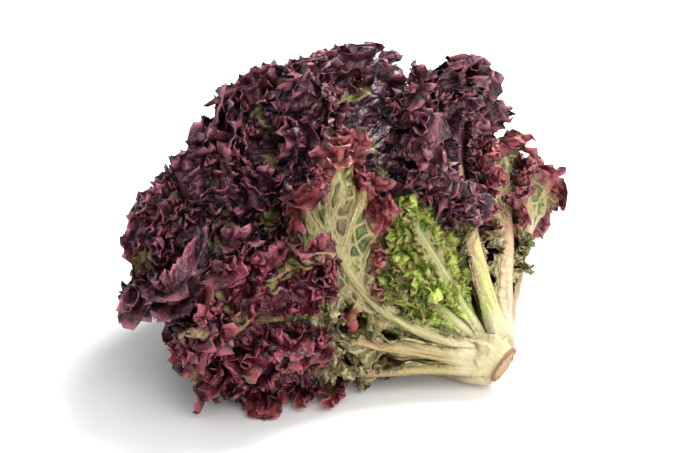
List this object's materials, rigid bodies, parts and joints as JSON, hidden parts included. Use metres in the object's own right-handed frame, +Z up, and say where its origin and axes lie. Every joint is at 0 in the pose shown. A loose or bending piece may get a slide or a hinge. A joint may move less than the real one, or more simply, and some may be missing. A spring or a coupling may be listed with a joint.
{
  "type": "lollo rosso lettuce",
  "caption": "Loose-leaf lettuce head lying on its side, with pale ribs rising from a cut stump into dark red, finely frilled leaves round a green heart.",
  "frame": {"origin": "on the floor under the middle of the head's bounding box", "axes": "+Z up from the floor; -Y toward the viewer of the picture; the stump points to +X, down and to -Y, and the crown to -X, +Y and up"},
  "size_m": [0.239, 0.2336, 0.1626],
  "materials": {
    "stump": "moist pale cut stem, tan on the cut face",
    "leaf_rose": "satin leaf, cream rib, green and pink blade, maroon frills",
    "leaf_crimson": "satin leaf, tan rib, crimson frills",
    "leaf_purple": "satin leaf, dark purple frills with lighter edges",
    "leaf_green": "satin young leaf, bright green with tan and maroon tips"
  },
  "bodies": {
    "root": {"stump": "stump", "leaf_01": "leaf_rose", "leaf_02": "leaf_rose", "leaf_03": "leaf_purple", "leaf_04": "leaf_rose", "leaf_05": "leaf_crimson", "leaf_06": "leaf_purple", "leaf_07": "leaf_purple", "leaf_08": "leaf_crimson", "leaf_09": "leaf_purple", "leaf_10": "leaf_purple", "leaf_11": "leaf_purple", "leaf_12": "leaf_rose", "leaf_13": "leaf_purple", "leaf_14": "leaf_green", "leaf_15": "leaf_purple", "leaf_16": "leaf_purple", "leaf_17": "leaf_green", "leaf_18": "leaf_purple", "leaf_19": "leaf_purple", "leaf_20": "leaf_purple", "leaf_21": "leaf_green", "leaf_22": "leaf_purple", "leaf_23": "leaf_purple", "leaf_24": "leaf_purple", "leaf_25": "leaf_purple", "leaf_26": "leaf_purple", "heart": "leaf_green"}
  },
  "joints": []
}
